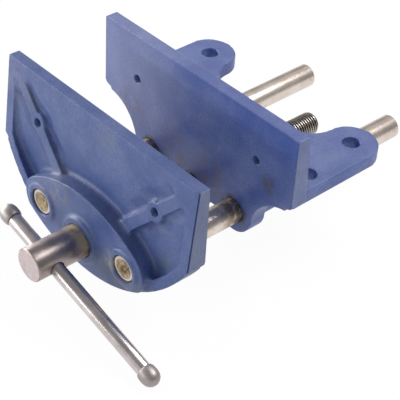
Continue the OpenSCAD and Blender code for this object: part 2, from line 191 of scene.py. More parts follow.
def enamelFinish(name, settings):
    # semi-gloss enamel on a casting: blue with pale clouds, painted shade in hollows, and stains and painted sheen
    # at places in millimetres
    material, finish = newFinish(name)
    where = finish.place()
    clouds = finish.noise(where, enamel["cloudSize"], 4, 0.6)
    specks = finish.noise(where, enamel["speckSize"], 2, 0.6)
    lumps = finish.noise(where, enamel["lumpSize"], 3)
    grain = finish.noise(where, enamel["grainSize"], 2)
    # edges and hollows, ground ends, and upward faces, which get dust and a painted sheen
    edges = finish.node("NewGeometry", output="Pointiness")
    hollow = 1 - finish.step(edges, *enamel["hollowRange"])
    worn = finish.step(edges + specks * enamel["wornSpecks"], *enamel["wornRange"])
    grit = hollow * finish.step(specks, *enamel["gritRange"])
    sideways = finish.node("SeparateXYZ", None, {0: where}, output="X")
    ends = finish.step(finish.node("Math", {"operation": "ABSOLUTE"}, {0: sideways}), *enamel["endRange"])
    streaks = finish.noise(finish.place(scale=enamel["streakStretch"]), enamel["streakSize"], 3)
    facing = finish.node("SeparateXYZ", None, {0: finish.node("NewGeometry", output="Normal")}, output="Z")
    upward = finish.step(facing, *enamel["upwardRange"])

    tint = finish.mix(finish.step(clouds, *enamel["cloudRange"]), settings["blue"], settings["pale"])
    speckled = finish.step(specks, *enamel["speckRange"]) * enamel["speckShare"]
    tint = finish.mix(speckled, tint, enamel["speckAndShadeBlue"])
    # painted sheen, with some dust: upward faces are turned paler and greyer
    tint = finish.mix(upward * settings["upwardSheenAndDust"], tint, enamel["film"])
    tint = finish.mix(ends * (streaks * enamel["streakShare"] + enamel["endShare"]), tint, enamel["bare"])
    # painted shade: hollows are darkened towards deep blue
    tint = finish.mix(hollow * enamel["hollowShadeShare"], tint, enamel["speckAndShadeBlue"])
    tint = finish.mix(grit * enamel["gritShare"], tint, enamel["dust"])
    tint = finish.mix(worn * enamel["wornShare"], tint, enamel["bare"])
    patchy = finish.step(finish.noise(where, enamel["patchSize"], 5, 0.7), *enamel["patchRange"])
    dull = 0.0
    # stains, and patches of painted sheen, fade out round their places
    for stain in settings["stainsAndSheen"]:
        cover = (patchy * (1 - stain["even"]) + stain["even"]) * stain["amount"]
        for centre in stain["places"]:
            middle = [part * mm for part in centre]
            amount = finish.spot(where, middle, stain["radius"], stain["softness"]) * cover
            tint = finish.mix(amount, tint, stain["colour"])
            dull = amount * stain["dull"] + dull
    roughness = enamel["roughness"] + lumps * enamel["lumpRoughness"] + dull
    finish.surface({
        "Base Color": tint, "Metallic": 0.0, "Specular IOR Level": enamel["specular"],
        "Roughness": roughness + hollow * enamel["hollowRoughness"] + ends * enamel["endRoughness"],
    }, lumps * enamel["lumpHeight"] + grain * enamel["grainHeight"], enamel["depth"])
    return material


steel = {
    "cloudSize": 12 * mm, "cloudRange": (0.3, 0.72), "cloudShare": 0.6, "lineShare": 0.4,
    "blotchSize": 6 * mm, "blotchRange": (0.52, 0.66), "smearSize": 4 * mm, "smearRange": (0.3, 0.55),
    "lineRoughness": 0.14, "cloudRoughness": 0.1, "greaseRoughness": 0.15, "smoother": 0.12,
}


def steelFinish(name, base, dark, roughness, turn=(0, 0, 0), centre=(0, 0, 0), brush=0.5 * mm,
                brushLength=40, depth=0.03 * mm, stain=None, stainAmount=0.0, grease=None):
    # ground or drawn steel: fine lines along the local Y axis, with darker clouds
    # grease is a film round one place
    material, finish = newFinish(name)
    around = finish.place(centre)
    lines = finish.noise(finish.place(centre, turn, (1, 1 / brushLength, 1)), brush, 2)
    clouds = finish.noise(around, steel["cloudSize"], 4, 0.6)
    shade = finish.step(clouds, *steel["cloudRange"]) * steel["cloudShare"] + lines * steel["lineShare"]
    tint = finish.mix(shade, dark, base)
    film = 0.0
    metal = 1.0
    if stain:
        blotches = finish.step(finish.noise(around, steel["blotchSize"], 5, 0.7), *steel["blotchRange"])
        tint = finish.mix(blotches * stainAmount, tint, stain)
    if grease:
        smears = finish.step(finish.noise(around, steel["smearSize"], 4, 0.65), *steel["smearRange"])
        film = finish.spot(finish.place(), grease["place"], grease["radius"], grease["softness"])
        film = film * smears * grease["amount"]
        tint = finish.mix(film, tint, grease["colour"])
        metal = 1 - film * grease["coat"]
    uneven = lines * steel["lineRoughness"] + clouds * steel["cloudRoughness"]
    uneven = uneven + film * steel["greaseRoughness"]
    finish.surface({
        "Base Color": tint, "Metallic": metal, "Roughness": roughness - steel["smoother"] + uneven,
    }, lines, depth)
    return material


turned = {"cloudSize": 3 * mm, "cloudRange": (0.3, 0.7), "cloudShare": 0.5, "ringShare": 0.5,
          "cloudRoughness": 0.15}


def turnedFinish(name, base, dark, roughness, centre, ring, depth=0.02 * mm):
    # a turned face: fine rings round the local Y axis
    material, finish = newFinish(name)
    turns = finish.fromAxis(centre) * (2 * math.pi / ring)
    rings = finish.node("Math", {"operation": "SINE"}, {0: turns}) * 0.5 + 0.5
    clouds = finish.noise(finish.place(centre), turned["cloudSize"], 4, 0.6)
    shade = finish.step(clouds, *turned["cloudRange"]) * turned["cloudShare"] + rings * turned["ringShare"]
    finish.surface({
        "Base Color": finish.mix(shade, dark, base), "Metallic": 1.0,
        "Roughness": roughness + clouds * turned["cloudRoughness"],
    }, rings, depth)
    return material


cutThread = {
    "root": colour(58, 50, 46), "crest": colour(206, 198, 190), "oil": colour(96, 84, 72),
    "brightFrom": 0.35, "cloudSize": 5 * mm, "cloudRange": (0.45, 0.7), "oilShare": 0.4,
    "roughness": 0.52, "crestSmoother": 0.24, "cloudRoughness": 0.1, "depth": 0.03 * mm,
}


def threadFinish(name, centre, root, crest):
    # cut thread: bright crests, darker towards the roots, with oily clouds
    material, finish = newFinish(name)
    bright = finish.step(finish.fromAxis(centre), root + cutThread["brightFrom"] * (crest - root), crest)
    clouds = finish.noise(finish.place(centre), cutThread["cloudSize"], 4, 0.6)
    tint = finish.mix(bright, cutThread["root"], cutThread["crest"])
    oily = finish.step(clouds, *cutThread["cloudRange"]) * cutThread["oilShare"]
    roughness = cutThread["roughness"] - bright * cutThread["crestSmoother"]
    finish.surface({
        "Base Color": finish.mix(oily, tint, cutThread["oil"]), "Metallic": 1.0,
        "Roughness": roughness + clouds * cutThread["cloudRoughness"],
    }, clouds, cutThread["depth"])
    return material


# Mesh helpers

def boxOf(node):
    low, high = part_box(node)
    return low, high, (low + high) / 2


def radiusOf(node):
    # of a round node whose axis lies along Y
    low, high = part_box(node)
    return (high.x - low.x) / 2


def newObject(name, bm):
    mesh = bpy.data.meshes.new(name)
    bm.to_mesh(mesh)
    bm.free()
    made = bpy.data.objects.new(name, mesh)
    bpy.context.scene.collection.objects.link(made)
    return made


def newPiece(name, bm, body, materials, *nodes, slotName, smoothBelow=40):
    # turns a bmesh into a piece that rides on a body and stands for CAD nodes
    bmesh.ops.recalc_face_normals(bm, faces=bm.faces)
    piece = newObject(name, bm)
    finishPiece(piece, body, materials, *nodes, slotName=slotName, smoothBelow=smoothBelow)
    return piece


def finishPiece(piece, body, materials, *nodes, slotName, smoothBelow=50):
    piece.data.materials.clear()
    for material in materials:
        piece.data.materials.append(material)
    piece.data.shade_smooth()
    piece.data.set_sharp_from_angle(angle=math.radians(smoothBelow))
    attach(piece, body)
    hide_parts(*nodes)


def spun(profile, origin, axis=backward, steps=96, closed=False):
    # spins a line of (place along the axis, radius) round the axis; its ends lie on the axis, or are joined
    # into a ring by closed
    axis = axis.normalized()
    side = axis.orthogonal().normalized()
    bm = bmesh.new()
    corners = [bm.verts.new(origin + axis * along + side * radius) for along, radius in profile]
    lines = [bm.edges.new(pair) for pair in zip(corners, corners[1:])]
    if closed:
        lines.append(bm.edges.new((corners[-1], corners[0])))
    bmesh.ops.spin(bm, geom=corners + lines, cent=origin, axis=axis, angle=2 * math.pi, steps=steps,
                   use_merge=True)
    bmesh.ops.remove_doubles(bm, verts=bm.verts, dist=mergeWithin)
    bmesh.ops.recalc_face_normals(bm, faces=bm.faces)
    return bm


def softened(bm, offset, sharperThan=30):
    # bevels every edge that turns by more than sharperThan degrees
    limit = math.radians(sharperThan)
    edges = [edge for edge in bm.edges if edge.is_manifold and edge.calc_face_angle() > limit]
    bmesh.ops.bevel(bm, geom=edges, offset=offset, segments=2, profile=0.5, affect="EDGES", material=-1)
    return bm


def applied(piece):
    # bakes the modifiers into the mesh
    bpy.context.view_layer.update()
    graph = bpy.context.evaluated_depsgraph_get()
    mesh = bpy.data.meshes.new_from_object(piece.evaluated_get(graph))
    piece.modifiers.clear()
    piece.data = mesh


def subtract(piece, tools):
    # cuts the tools, which are objects of their own, out of the piece and removes them
    for tool in tools:
        cut = piece.modifiers.new("cut", "BOOLEAN")
        cut.operation = "DIFFERENCE"
        cut.solver = "MANIFOLD"
        cut.object = tool
    applied(piece)
    for tool in tools:
        bpy.data.objects.remove(tool)


casting = {"grid": 0.55 * mm, "fillet": 1.7 * mm, "smoothing": 3, "smoothFactor": 0.5, "triangles": 180000}


def castCopy(name, node, settings, before=None, after=None):
    # a copy of a CAD node whose corners are rounded as a sand casting's are; before and after are functions
    # that move its corners ahead of the rounding and behind it
    bm = bmesh.new()
    bm.from_mesh(frame["nodes"][node].data)
    bmesh.ops.remove_doubles(bm, verts=bm.verts, dist=mergeWithin)
    if before:
        before(bm.verts)
    piece = newObject(name, bm)
    # grown by the fillet's radius and shrunk again, which fills inner corners and leaves outer ones
    for grow in (settings["fillet"], -settings["fillet"]):
        remesh = piece.modifiers.new("grid", "REMESH")
        remesh.mode = "VOXEL"
        remesh.voxel_size = settings["grid"]
        swell = piece.modifiers.new("swell", "DISPLACE")
        swell.strength = grow
        swell.mid_level = 0
    smooth = piece.modifiers.new("smooth", "SMOOTH")
    smooth.factor = settings["smoothFactor"]
    smooth.iterations = settings["smoothing"]
    applied(piece)
    if after:
        after(piece.data.vertices)
    # flat areas need few triangles
    count = sum(len(face.vertices) - 2 for face in piece.data.polygons)
    if count > settings["triangles"]:
        thin = piece.modifiers.new("thin", "DECIMATE")
        thin.ratio = settings["triangles"] / count
        applied(piece)
    low, high, _ = boxOf(node)
    for corner in piece.data.vertices:
        corner.co = [min(max(place, least), most) for place, least, most in zip(corner.co, low, high)]
    return piece


cuts = {"over": 4 * mm, "chamfer": 0.45 * mm, "past": 5 * mm}


def holeTools(name, through):
    # one cutter, with a small chamfer at both mouths, for each hole of a bolt pattern in a line along X
    mount = mounts[name]
    half = mount["dims"]["spacing_x_mm"] * mm / 2
    radius = mount["dims"]["hole_r_mm"] * mm
    wide = radius + cuts["chamfer"]
    profile = [(cuts["over"], 0), (cuts["over"], wide), (0, wide), (-cuts["chamfer"], radius),
               (cuts["chamfer"] - through, radius), (-through, wide), (-through - cuts["over"], wide),
               (-through - cuts["over"], 0)]
    tools = []
    for side in (-1, 1):
        mouth = Vector(mount["pos_m"]) + Vector((side * half, 0, 0))
        tools.append(newObject("cutter", spun(profile, mouth, Vector(mount["axis"]), steps=40)))
    return tools


def boreTool(centre, stations, radii):
    # a stepped bore along Y; stations are places along Y, radii the hole's radius up to each next one
    profile = [(stations[0], 0)]
    for start, end, radius in zip(stations, stations[1:], radii):
        profile += [(start, radius), (end, radius)]
    profile.append((stations[-1], 0))
    return newObject("cutter", spun(profile, Vector((centre.x, 0, centre.z)), steps=80))


# Front jaw

frontJaw = {
    # the last number is how much painted sheen and dust the upward faces get
    "blue": colour(54, 76, 129), "pale": colour(79, 95, 141), "upwardSheenAndDust": 0.07,
    "barFit": 0.05 * mm, "barMouth": 0.8 * mm, "mouthDepth": 4 * mm, "headFit": 0.3 * mm,
    "rodFit": 0.05 * mm, "collarRoom": 1.0 * mm, "wallFit": 0.1 * mm, "padThickness": 11.2 * mm,
    "stainsAndSheen": [
        {"colour": colour(92, 100, 92), "amount": 0.5, "even": 0.0, "dull": 0.1,
         "radius": 2 * mm, "softness": 9 * mm,
         "places": [(63, -77, -19), (-18, -88, -15), (25, -88, -43), (-62, -80, 26), (10, -77, 36)]},
        {"colour": colour(128, 126, 140), "amount": 0.4, "even": 0.0, "dull": 0.05,
         "radius": 4 * mm, "softness": 16 * mm,
         "places": [(-30, -88, -14), (44, -88, -46), (-80, -78, 30)]},
        {"colour": colour(158, 152, 144), "amount": 0.7, "even": 0.0, "dull": 0.1,
         "radius": 2 * mm, "softness": 8 * mm,
         "places": [(29, -88, -36)]},
        {"colour": colour(140, 136, 130), "amount": 0.45, "even": 0.0, "dull": 0.1,
         "radius": 1 * mm, "softness": 7 * mm,
         "places": [(-22, -88, -17)]},
    ],
}
# dips in the pockets' floors: the ribs' angle and half width, the pads round the holes, and the dips' reach
dip = {
    "depth": 1.5 * mm, "angle": math.radians(46), "ribHalf": 4 * mm, "padRadius": 7 * mm,
    "wall": 0.4 * mm, "flat": 2 * mm, "reach": 9 * mm, "start": -26 * mm, "startFade": 8 * mm,
    "end": 21 * mm, "endFade": 5 * mm, "front": -70 * mm, "low": -12 * mm,
}
# the step down the sloping front edges: how wide it is, how far down it runs and how far the tool overlaps
rebate = {"width": 0.8 * mm, "length": 54 * mm, "topThickness": 8 * mm, "slope": 0.1014, "over": 3 * mm}


def ease(value, low, high):
    share = min(max((value - low) / (high - low), 0.0), 1.0)
    return share * share * (3 - 2 * share)


def deepenPockets(corners):
    # the pockets' floors dip beside the ribs, which keeps the ribs' edges clear up to their tops
    hole = Vector(mounts["moving_jaw_facing_holes"]["pos_m"])
    holeX = mounts["moving_jaw_facing_holes"]["dims"]["spacing_x_mm"] * mm / 2
    alongX, alongZ = math.cos(dip["angle"]), math.sin(dip["angle"])
    for corner in corners:
        if corner.co.y > dip["front"] or corner.co.z < dip["low"]:
            continue
        x, z = abs(corner.co.x) - holeX, corner.co.z - hole.z
        beside = abs(z * alongX - x * alongZ) - dip["ribHalf"]
        away = min(beside, math.hypot(x, z) - dip["padRadius"])
        along = x * alongX + z * alongZ
        share = ease(away, -dip["wall"], dip["wall"]) * (1 - ease(away, dip["flat"], dip["reach"]))
        share *= ease(along, dip["start"], dip["start"] + dip["startFade"])
        corner.co.y += dip["depth"] * share * (1 - ease(along, dip["end"], dip["end"] + dip["endFade"]))


def rebateTool(low, high):
    # the small step that the ground ends leave along the sloping front edges
    width, over = rebate["width"], rebate["over"]
    top = Vector((high.x, high.y - rebate["topThickness"], high.z))
    upward = Vector((0, rebate["slope"], 1))
    bm = bmesh.new()
    for side in (-1, 1):
        corners = []
        for end in (top + upward * over, top - upward * rebate["length"]):
            for x, y in ((-width, width), (over, width), (over, -over), (-width, -over)):
                corners.append(bm.verts.new((side * (end.x + x), end.y + y, end.z)))
        bmesh.ops.contextual_create(bm, geom=corners[:4])
        bmesh.ops.contextual_create(bm, geom=corners[4:])
        loops = [edge for edge in bm.edges if edge.verts[0] in corners and edge.verts[1] in corners]
        bmesh.ops.bridge_loops(bm, edges=loops)
    bmesh.ops.recalc_face_normals(bm, faces=bm.faces)
    return newObject("cutter", bm)


def makeFrontJaw():
    low, high, _ = boxOf("front_jaw")
    start, end = low.y - cuts["past"], high.y + cuts["past"]
    piece = castCopy("frontJaw", "front_jaw", casting, after=deepenPockets)
    tools = holeTools("moving_jaw_facing_holes", frontJaw["padThickness"])
    for node in ("guide_bar_left", "guide_bar_right"):
        barLow, _, centre = boxOf(node)
        radius = radiusOf(node) + frontJaw["barFit"]
        shoulder = barLow.y + frontJaw["mouthDepth"]
        tools.append(boreTool(centre, (start, shoulder, end), (radius + frontJaw["barMouth"], radius)))
    wallFront = boxOf("thrust_washer")[1].y + frontJaw["wallFit"]
    wallBack = boxOf("collar_washer")[0].y - frontJaw["wallFit"]
    tools.append(boreTool(boxOf("screw_head")[2], (start, wallFront, wallBack, end), (
        radiusOf("screw_head") + frontJaw["headFit"],
        radiusOf("screw_rod") + frontJaw["rodFit"],
        radiusOf("retaining_collar") + frontJaw["collarRoom"])))
    tools.append(rebateTool(low, high))
    subtract(piece, tools)
    finishPiece(piece, "slider", [enamelFinish("frontEnamel", frontJaw)], "front_jaw",
                slotName="blue_enamel")
    print("front jaw:", len(piece.data.polygons), "faces")


# Rear jaw and flange

rearJaw = {
    # painted light: a lighter copy of the front jaw's blue, to make up for light that falls short on the rear jaw;
    # the last number is how much painted sheen and dust the upward faces get
    "blue": colour(60, 84, 150), "pale": colour(92, 110, 164), "upwardSheenAndDust": 0.17,
    "barFit": 0.06 * mm, "rodFit": 0.4 * mm, "rodBoreEnd": 20 * mm, "jawThickness": 11.2 * mm,
    "flange": 9.7 * mm, "webStep": 1.5 * mm, "webShown": 0.1 * mm, "webFound": 0.01 * mm,
    "stainsAndSheen": [
        {"colour": colour(74, 72, 58), "amount": 0.75, "even": 0.0, "dull": 0.1,
         "radius": 2.5 * mm, "softness": 4 * mm,
         "places": [(66.7, 0, 5.3), (68, 0, 1)]},
        {"colour": colour(64, 54, 44), "amount": 0.9, "even": 0.0, "dull": 0.15,
         "radius": 9 * mm, "softness": 4 * mm,
         "places": [(40, 1.5, -34), (-40, 1.5, -34)]},
        # painted highlight: a wide, even, pale patch on the left of the jaw's face, where the light falls
        # brightest
        {"colour": colour(146, 148, 172), "amount": 0.3, "even": 0.9, "dull": 0.0,
         "radius": 16 * mm, "softness": 50 * mm,
         "places": [(-62, 0, 22)]},
        # greyer, duller patches on the web round the screw and between the bars
        {"colour": colour(96, 90, 104), "amount": 0.6, "even": 0.0, "dull": 0.15,
         "radius": 8 * mm, "softness": 16 * mm,
         "places": [(16, 1.5, -20), (-20, 1.5, -20), (0, 1.5, -36), (-62, 1.5, -14)]},
    ],
}


def flattenWeb(corners):
    # the web's front face runs on from the jaw's face with hardly a step
    for corner in corners:
        if abs(corner.co.y - rearJaw["webStep"]) < rearJaw["webFound"]:
            corner.co.y = rearJaw["webShown"]


def makeRearJaw():
    low, high, _ = boxOf("rear_jaw_body")
    start, end = low.y - cuts["past"], high.y + cuts["past"]
    piece = castCopy("rearJawBody", "rear_jaw_body", casting, before=flattenWeb)
    tools = holeTools("fixed_jaw_facing_holes", rearJaw["jawThickness"])
    for name in ("rear_ear_holes", "front_flange_holes"):
        tools += holeTools(name, rearJaw["flange"])
    for node in ("guide_bar_left", "guide_bar_right"):
        tools.append(boreTool(boxOf(node)[2], (start, end), (radiusOf(node) + rearJaw["barFit"],)))
    rodBore = radiusOf("screw_rod") + rearJaw["rodFit"]
    tools.append(boreTool(boxOf("screw_rod")[2], (start, rearJaw["rodBoreEnd"]), (rodBore,)))
    subtract(piece, tools)
    finishPiece(piece, "bench_side", [enamelFinish("rearEnamelBrightened", rearJaw)], "rear_jaw_body",
                slotName="blue_enamel")
    print("rear jaw:", len(piece.data.polygons), "faces")


# Guide bars

guideBar = {
    "ring": 1.4 * mm, "recess": 2.9 * mm, "tip": 0.6 * mm, "centreHole": 1.0 * mm, "chamfer": 1.0 * mm,
    "edge": 0.15 * mm, "turnedDepth": 3.9 * mm, "turnedRing": 1.12 * mm,
    "ground": {"base": colour(240, 230, 224), "dark": colour(204, 188, 174), "roughness": 0.34,
               "depth": 0.01 * mm, "stain": colour(150, 124, 98), "stainAmount": 0.4},
    "end": {"base": colour(200, 182, 150), "dark": colour(104, 90, 66), "roughness": 0.16,
            "ring": 0.8 * mm, "depth": 0.008 * mm},
    "greaseY": -1 * mm,
    "grease": {"colour": colour(92, 74, 50), "amount": 0.8, "coat": 0.0,
               "radius": 9 * mm, "softness": 12 * mm},
}


def makeGuideBar(name, node):
    # a plain bar with a chamfered rear end and a coned front end
    low, high, centre = boxOf(node)
    radius = radiusOf(node)
    length = high.y - low.y
    profile = [(guideBar["recess"] + guideBar["tip"], 0), (guideBar["recess"], guideBar["centreHole"]),
               (0, radius - guideBar["ring"]), (0, radius),
               (length - guideBar["chamfer"], radius), (length, radius - guideBar["chamfer"]), (length, 0)]
    bm = softened(spun(profile, Vector((centre.x, low.y, centre.z))), guideBar["edge"])
    grease = {**guideBar["grease"], "place": (centre.x, guideBar["greaseY"], centre.z)}
    side = steelFinish(name + "Steel", **guideBar["ground"], centre=centre, grease=grease)
    end = turnedFinish(name + "End", **guideBar["end"], centre=centre)
    piece = newPiece(name, bm, "slider", [side, end], node, slotName="bar_steel")
    for face in piece.data.polygons:
        fromAxis = math.hypot(face.center.x - centre.x, face.center.z - centre.z)
        if face.center.y < low.y + guideBar["turnedDepth"] and fromAxis < radius - guideBar["turnedRing"]:
            face.material_index = 1
    print(name)


# Screw

thread = {
    "pitch": 2.0 * mm, "rootShare": 0.2, "crestShare": 0.16, "depth": 1.2 * mm, "steps": 36,
    "startY": -61 * mm, "runOut": 1 * mm, "chamfer": 1.5 * mm, "merge": 0.005 * mm, "onPlane": 0.0001 * mm,
}


def threadMesh(centre, radius, root, endY):
    # a helix, cut flat at both ends and chamfered at the rear one
    pitch = thread["pitch"]
    flank = (1 - thread["rootShare"] - thread["crestShare"]) / 2
    start = Vector((centre.x, thread["startY"], centre.z))
    turns = math.ceil((endY - thread["startY"]) / pitch) + 1
    shares = (0, thread["rootShare"], thread["rootShare"] + flank, 1 - flank, 1)
    radii = (root, root, radius, radius, root)
    bm = bmesh.new()
    corners = []
    for share, away in zip(shares, radii):
        corners.append(bm.verts.new(start + Vector((away, share * pitch - pitch, 0))))
    lines = [bm.edges.new(pair) for pair in zip(corners, corners[1:])]
    bmesh.ops.spin(bm, geom=corners + lines, cent=start, axis=backward, angle=2 * math.pi * turns,
                   steps=thread["steps"] * turns, dvec=backward * (pitch / thread["steps"]))
    bmesh.ops.remove_doubles(bm, verts=bm.verts, dist=thread["merge"])
    for place, normal in ((thread["startY"], -backward), (endY, backward)):
        everything = bm.verts[:] + bm.edges[:] + bm.faces[:]
        cut = bmesh.ops.bisect_plane(bm, geom=everything, dist=thread["onPlane"], plane_co=(0, place, 0),
                                     plane_no=normal, clear_outer=True)
        rim = [part for part in cut["geom_cut"] if isinstance(part, bmesh.types.BMEdge)]
        bmesh.ops.edgeloop_fill(bm, edges=rim)
    for corner in bm.verts:
        offset = Vector((corner.co.x - centre.x, 0, corner.co.z - centre.z))
        limit = radius - max(0.0, corner.co.y - (endY - thread["chamfer"]))
        if offset.length > limit:
            corner.co.x = centre.x + offset.x * limit / offset.length
            corner.co.z = centre.z + offset.z * limit / offset.length
    return bm


def makeScrewRod():
    low, high, centre = boxOf("screw_rod")
    radius = radiusOf("screw_rod")
    root = radius - thread["depth"]
    bm = threadMesh(centre, radius, root, high.y)
    plain = spun([(low.y, 0), (low.y, radius), (thread["startY"] - thread["runOut"], radius),
                  (thread["startY"], root), (thread["startY"], 0)], Vector((centre.x, 0, centre.z)))
    plainMesh = bpy.data.meshes.new("plain")
    plain.to_mesh(plainMesh)
    plain.free()
    bm.from_mesh(plainMesh)
    newPiece("screwRod", bm, "screw", [threadFinish("rodSteel", centre, root, radius)], "screw_rod",
             slotName="thread_steel", smoothBelow=30)
    print("screw rod")


screwHead = {
    "chamfer": 0.6 * mm, "edge": 0.12 * mm, "holeFit": 0.4 * mm, "reach": 20 * mm, "turnedDepth": 0.05 * mm,
    "satin": {"base": colour(187, 175, 171), "dark": colour(134, 122, 118), "roughness": 0.37,
              "brush": 0.9 * mm, "brushLength": 3},
    "end": {"base": colour(222, 206, 206), "dark": colour(190, 174, 176), "roughness": 0.3,
            "ring": 0.4 * mm},
    "filmPlace": 37 * mm, "filmOver": 0.5 * mm,
    "film": {"colour": colour(188, 168, 134), "softness": 4 * mm, "amount": 0.8, "coat": 0.65},
}


def makeScrewHead():
    # a plain cylinder with a cross hole; dried oil is left on it next to the jaw
    low, high, centre = boxOf("screw_head")
    radius = radiusOf("screw_head")
    length = high.y - low.y
    chamfer = screwHead["chamfer"]
    profile = [(0, 0), (0, radius - chamfer), (chamfer, radius), (length, radius), (length, 0)]
    bm = softened(spun(profile, Vector((centre.x, low.y, centre.z)), steps=128), screwHead["edge"])
    film = {**screwHead["film"], "place": (centre.x, low.y + screwHead["filmPlace"], centre.z),
            "radius": radius + screwHead["filmOver"]}
    side = steelFinish("headSteel", **screwHead["satin"], centre=centre, grease=film)
    end = turnedFinish("headEnd", **screwHead["end"], centre=centre)
    piece = newObject("screwHead", bm)
    hole = tommyBar["radius"] + screwHead["holeFit"]
    reach = screwHead["reach"]
    mouth = Vector((centre.x, boxOf("tommy_bar")[2].y, centre.z))
    tool = spun([(-reach, 0), (-reach, hole), (reach, hole), (reach, 0)], mouth, tommyDirection, steps=64)
    subtract(piece, [newObject("cutter", tool)])
    finishPiece(piece, "screw", [side, end], "screw_head", slotName="head_steel", smoothBelow=40)
    for face in piece.data.polygons:
        if face.center.y < low.y + screwHead["turnedDepth"]:
            face.material_index = 1
    print("screw head")


collar = {"boreFit": 0.02 * mm, "edge": 0.5 * mm,
          "steel": {"base": colour(150, 146, 142), "dark": colour(96, 92, 90), "roughness": 0.4}}


def makeCollar():
    low, high, centre = boxOf("retaining_collar")
    radius = radiusOf("retaining_collar")
    bore = radiusOf("screw_rod") + collar["boreFit"]
    length = high.y - low.y
    profile = [(0, bore), (0, radius), (length, radius), (length, bore)]
    bm = softened(spun(profile, Vector((centre.x, low.y, centre.z)), closed=True), collar["edge"])
    newPiece("retainingCollar", bm, "screw", [steelFinish("collarSteel", **collar["steel"], centre=centre)],
             "retaining_collar", slotName="thread_steel")
    print("collar")


# Tommy bar

tommyBar = {
    "radius": 4.7 * mm, "length": 150 * mm, "knobLength": 11.5 * mm, "edge": 0.15 * mm, "gap": 0.25 * mm,
    "knobEdge": 0.2 * mm,
    "drawn": {"base": colour(224, 216, 216), "dark": colour(190, 180, 180), "roughness": 0.34,
              "brush": 0.8 * mm, "depth": 0.003 * mm},
    "satin": {"base": colour(188, 180, 178), "dark": colour(146, 138, 136), "roughness": 0.5,
              "brush": 0.7 * mm, "brushLength": 2, "depth": 0.01 * mm},
}
# places along a knob from its flat face, and the radius there
knobProfile = [(0.0, 5.3), (0.9, 5.62), (2.4, 5.9), (4.6, 5.98), (6.6, 5.8), (8.3, 5.25), (9.7, 4.25),
               (10.7, 2.95), (11.3, 1.5), (11.48, 0.0)]


def makeTommyBar():
    centre = boxOf("tommy_bar")[2]
    tilt = math.atan2(-tommyDirection.z, tommyDirection.x)
    drawn = steelFinish("tommySteel", **tommyBar["drawn"], turn=(0, -tilt, math.pi / 2), centre=centre)
    radius = tommyBar["radius"]
    half = tommyBar["length"] / 2 - tommyBar["knobLength"]
    profile = [(-half, 0), (-half, radius), (half, radius), (half, 0)]
    bm = softened(spun(profile, centre, tommyDirection, steps=64), tommyBar["edge"])
    newPiece("tommyBar", bm, "tommy", [drawn], "tommy_bar", slotName="tommy_steel")
    satin = steelFinish("knobSteel", **tommyBar["satin"], centre=centre)
    profile = [(tommyBar["gap"], 0)]
    profile += [(max(along * mm, tommyBar["gap"]), across * mm) for along, across in knobProfile]
    for name, node, outward in (("tommyKnobNear", "tommy_knob_near", -tommyDirection),
                                ("tommyKnobFar", "tommy_knob_far", tommyDirection)):
        bm = softened(spun(profile, centre + outward * half, outward, steps=64), tommyBar["knobEdge"],
                      sharperThan=50)
        newPiece(name, bm, "tommy", [satin], node, slotName="tommy_steel", smoothBelow=50)
    print("tommy bar")


# Nut, its screws, and the hidden pins and washers

nutCasting = {**casting, "grid": 0.45 * mm, "fillet": 0.8 * mm, "triangles": 60000}
nut = {"boreFit": 0.06 * mm, "boreY": (-5 * mm, 90 * mm),
       "iron": {"base": colour(112, 110, 110), "dark": colour(64, 62, 62), "roughness": 0.5,
                "brush": 1.2 * mm, "brushLength": 1, "depth": 0.15 * mm}}
nutScrew = {"flats": 10 * mm, "headHeight": 4 * mm, "radius": 3 * mm, "pitch": 36 * mm, "edge": 0.5 * mm,
            "steel": {"base": colour(170, 168, 166), "dark": colour(120, 118, 118), "roughness": 0.35}}


def makeNut():
    piece = castCopy("screwNut", "screw_nut", nutCasting)
    bore = radiusOf("screw_rod") + nut["boreFit"]
    subtract(piece, [boreTool(boxOf("screw_rod")[2], nut["boreY"], (bore,))])
    iron = steelFinish("nutIron", **nut["iron"], centre=boxOf("screw_nut")[2])
    finishPiece(piece, "bench_side", [iron], "screw_nut", slotName="nut_iron")
    print("nut")


def makeNutScrews():
    # two hexagon heads with bevelled edges on plain shanks
    low, high, centre = boxOf("nut_screws")
    height = nutScrew["headHeight"]
    shank = high.y - height - low.y
    across = nutScrew["flats"] / math.sqrt(3)
    radius = nutScrew["radius"]
    turn = Euler((math.pi / 2, 0, 0)).to_matrix().to_4x4()
    bm = bmesh.new()
    for side in (-1, 1):
        x = centre.x + side * nutScrew["pitch"] / 2
        headPlace = Matrix.Translation((x, high.y - height / 2, centre.z)) @ turn
        head = bmesh.ops.create_cone(bm, cap_ends=True, segments=6, radius1=across, radius2=across,
                                     depth=height, matrix=headPlace)
        edges = {edge for corner in head["verts"] for edge in corner.link_edges}
        bmesh.ops.bevel(bm, geom=list(edges), offset=nutScrew["edge"], segments=2, profile=0.5,
                        affect="EDGES", material=-1)
        shankPlace = Matrix.Translation((x, low.y + shank / 2, centre.z)) @ turn
        bmesh.ops.create_cone(bm, cap_ends=True, segments=32, radius1=radius, radius2=radius, depth=shank,
                              matrix=shankPlace)
    newPiece("nutScrews", bm, "bench_side", [steelFinish("screwSteel", **nutScrew["steel"], centre=centre)],
             "nut_screws", slotName="fastener_steel")
    print("nut's screws")


hidden = {
    "plated": {"base": colour(150, 150, 152), "dark": colour(104, 104, 106), "roughness": 0.35},
    "brass": {"base": colour(200, 168, 96), "dark": colour(150, 120, 60), "roughness": 0.35},
}


def dressHidden():
    # pins and washers keep their CAD shape and get a finish
    plated = steelFinish("platedSteel", **hidden["plated"])
    for node in ("head_pin", "collar_pin", "collar_washer", "guide_bar_pins", "nut_screw_washers"):
        setMaterial(frame["nodes"][node], plated)
    setMaterial(frame["nodes"]["thrust_washer"], steelFinish("washerBrass", **hidden["brass"]))
    print("pins and washers")


def setMaterial(piece, material):
    piece.data.materials.clear()
    piece.data.materials.append(material)


# Floor, lights and camera

